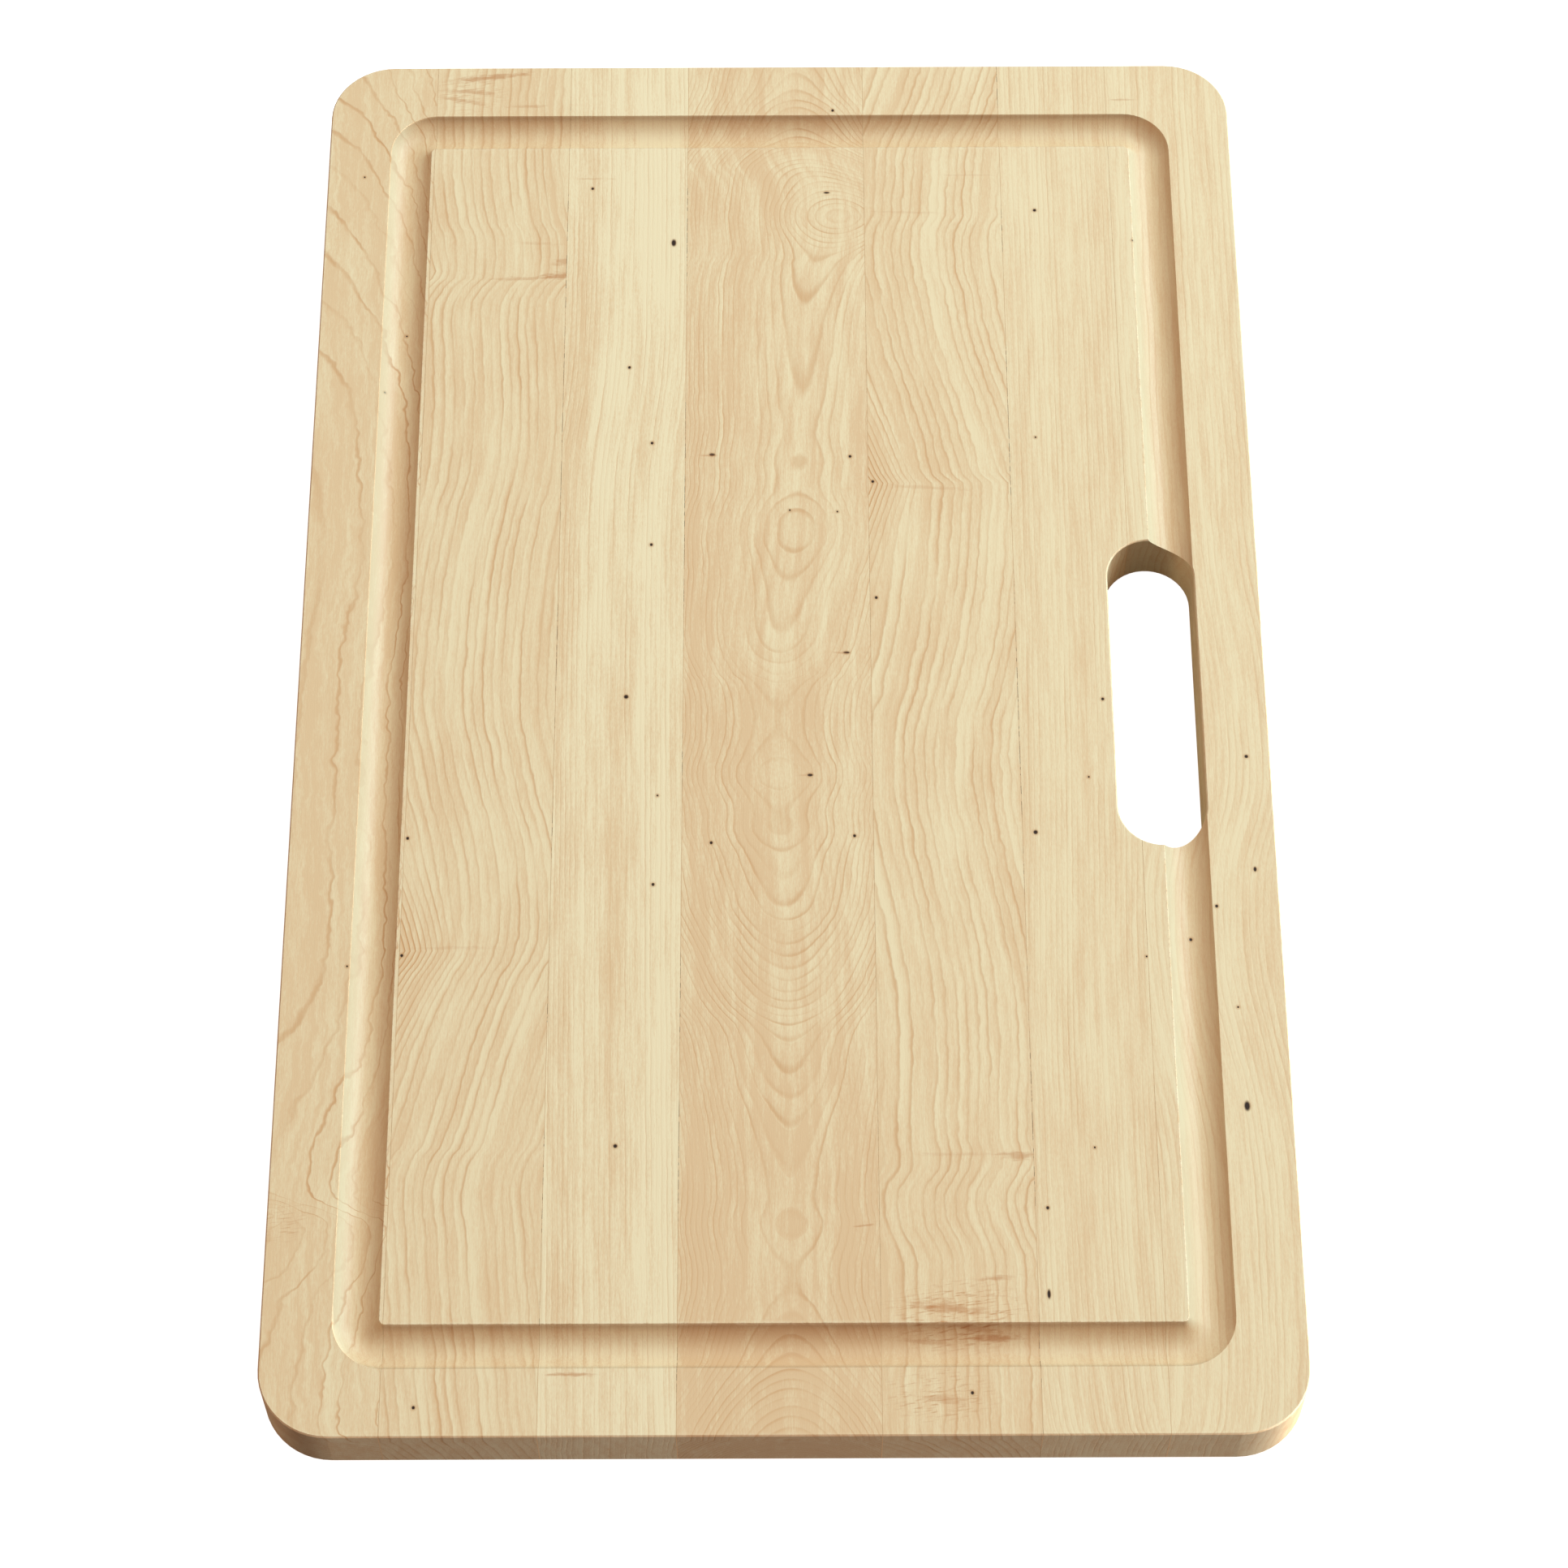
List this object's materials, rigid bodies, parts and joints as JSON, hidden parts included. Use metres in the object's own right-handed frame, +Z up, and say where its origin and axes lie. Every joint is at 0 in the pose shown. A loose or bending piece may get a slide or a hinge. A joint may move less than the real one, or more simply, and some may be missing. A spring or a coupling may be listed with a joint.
{
  "type": "cutting board",
  "caption": "Rectangular edge-glued maple cutting board with rounded corners, a juice groove round the work surface and a long handle slot through one side.",
  "frame": {"origin": "centre of the underside", "axes": "+X across the board towards the handle slot, +Y along the staves, +Z up through the work surface"},
  "size_m": [0.298, 0.4824, 0.019],
  "materials": {
    "left_edge_maple": "fine-sanded bare wood, matt",
    "left_outer_maple": "fine-sanded bare wood, matt",
    "left_inner_maple": "fine-sanded bare wood, matt",
    "centre_maple": "fine-sanded bare wood, matt",
    "right_inner_maple": "fine-sanded bare wood, matt",
    "right_outer_maple": "fine-sanded bare wood, matt",
    "right_edge_maple": "fine-sanded bare wood, matt",
    "cured_glue": "cured wood glue, sanded flush"
  },
  "bodies": {
    "root": {"left_edge_stave": "left_edge_maple", "left_outer_stave": "left_outer_maple", "left_inner_stave": "left_inner_maple", "centre_stave": "centre_maple", "right_inner_stave": "right_inner_maple", "right_outer_stave": "right_outer_maple", "right_edge_stave": "right_edge_maple", "glue_line_1": "cured_glue", "glue_line_2": "cured_glue", "glue_line_3": "cured_glue", "glue_line_4": "cured_glue", "glue_line_5": "cured_glue", "glue_line_6": "cured_glue"}
  },
  "joints": []
}
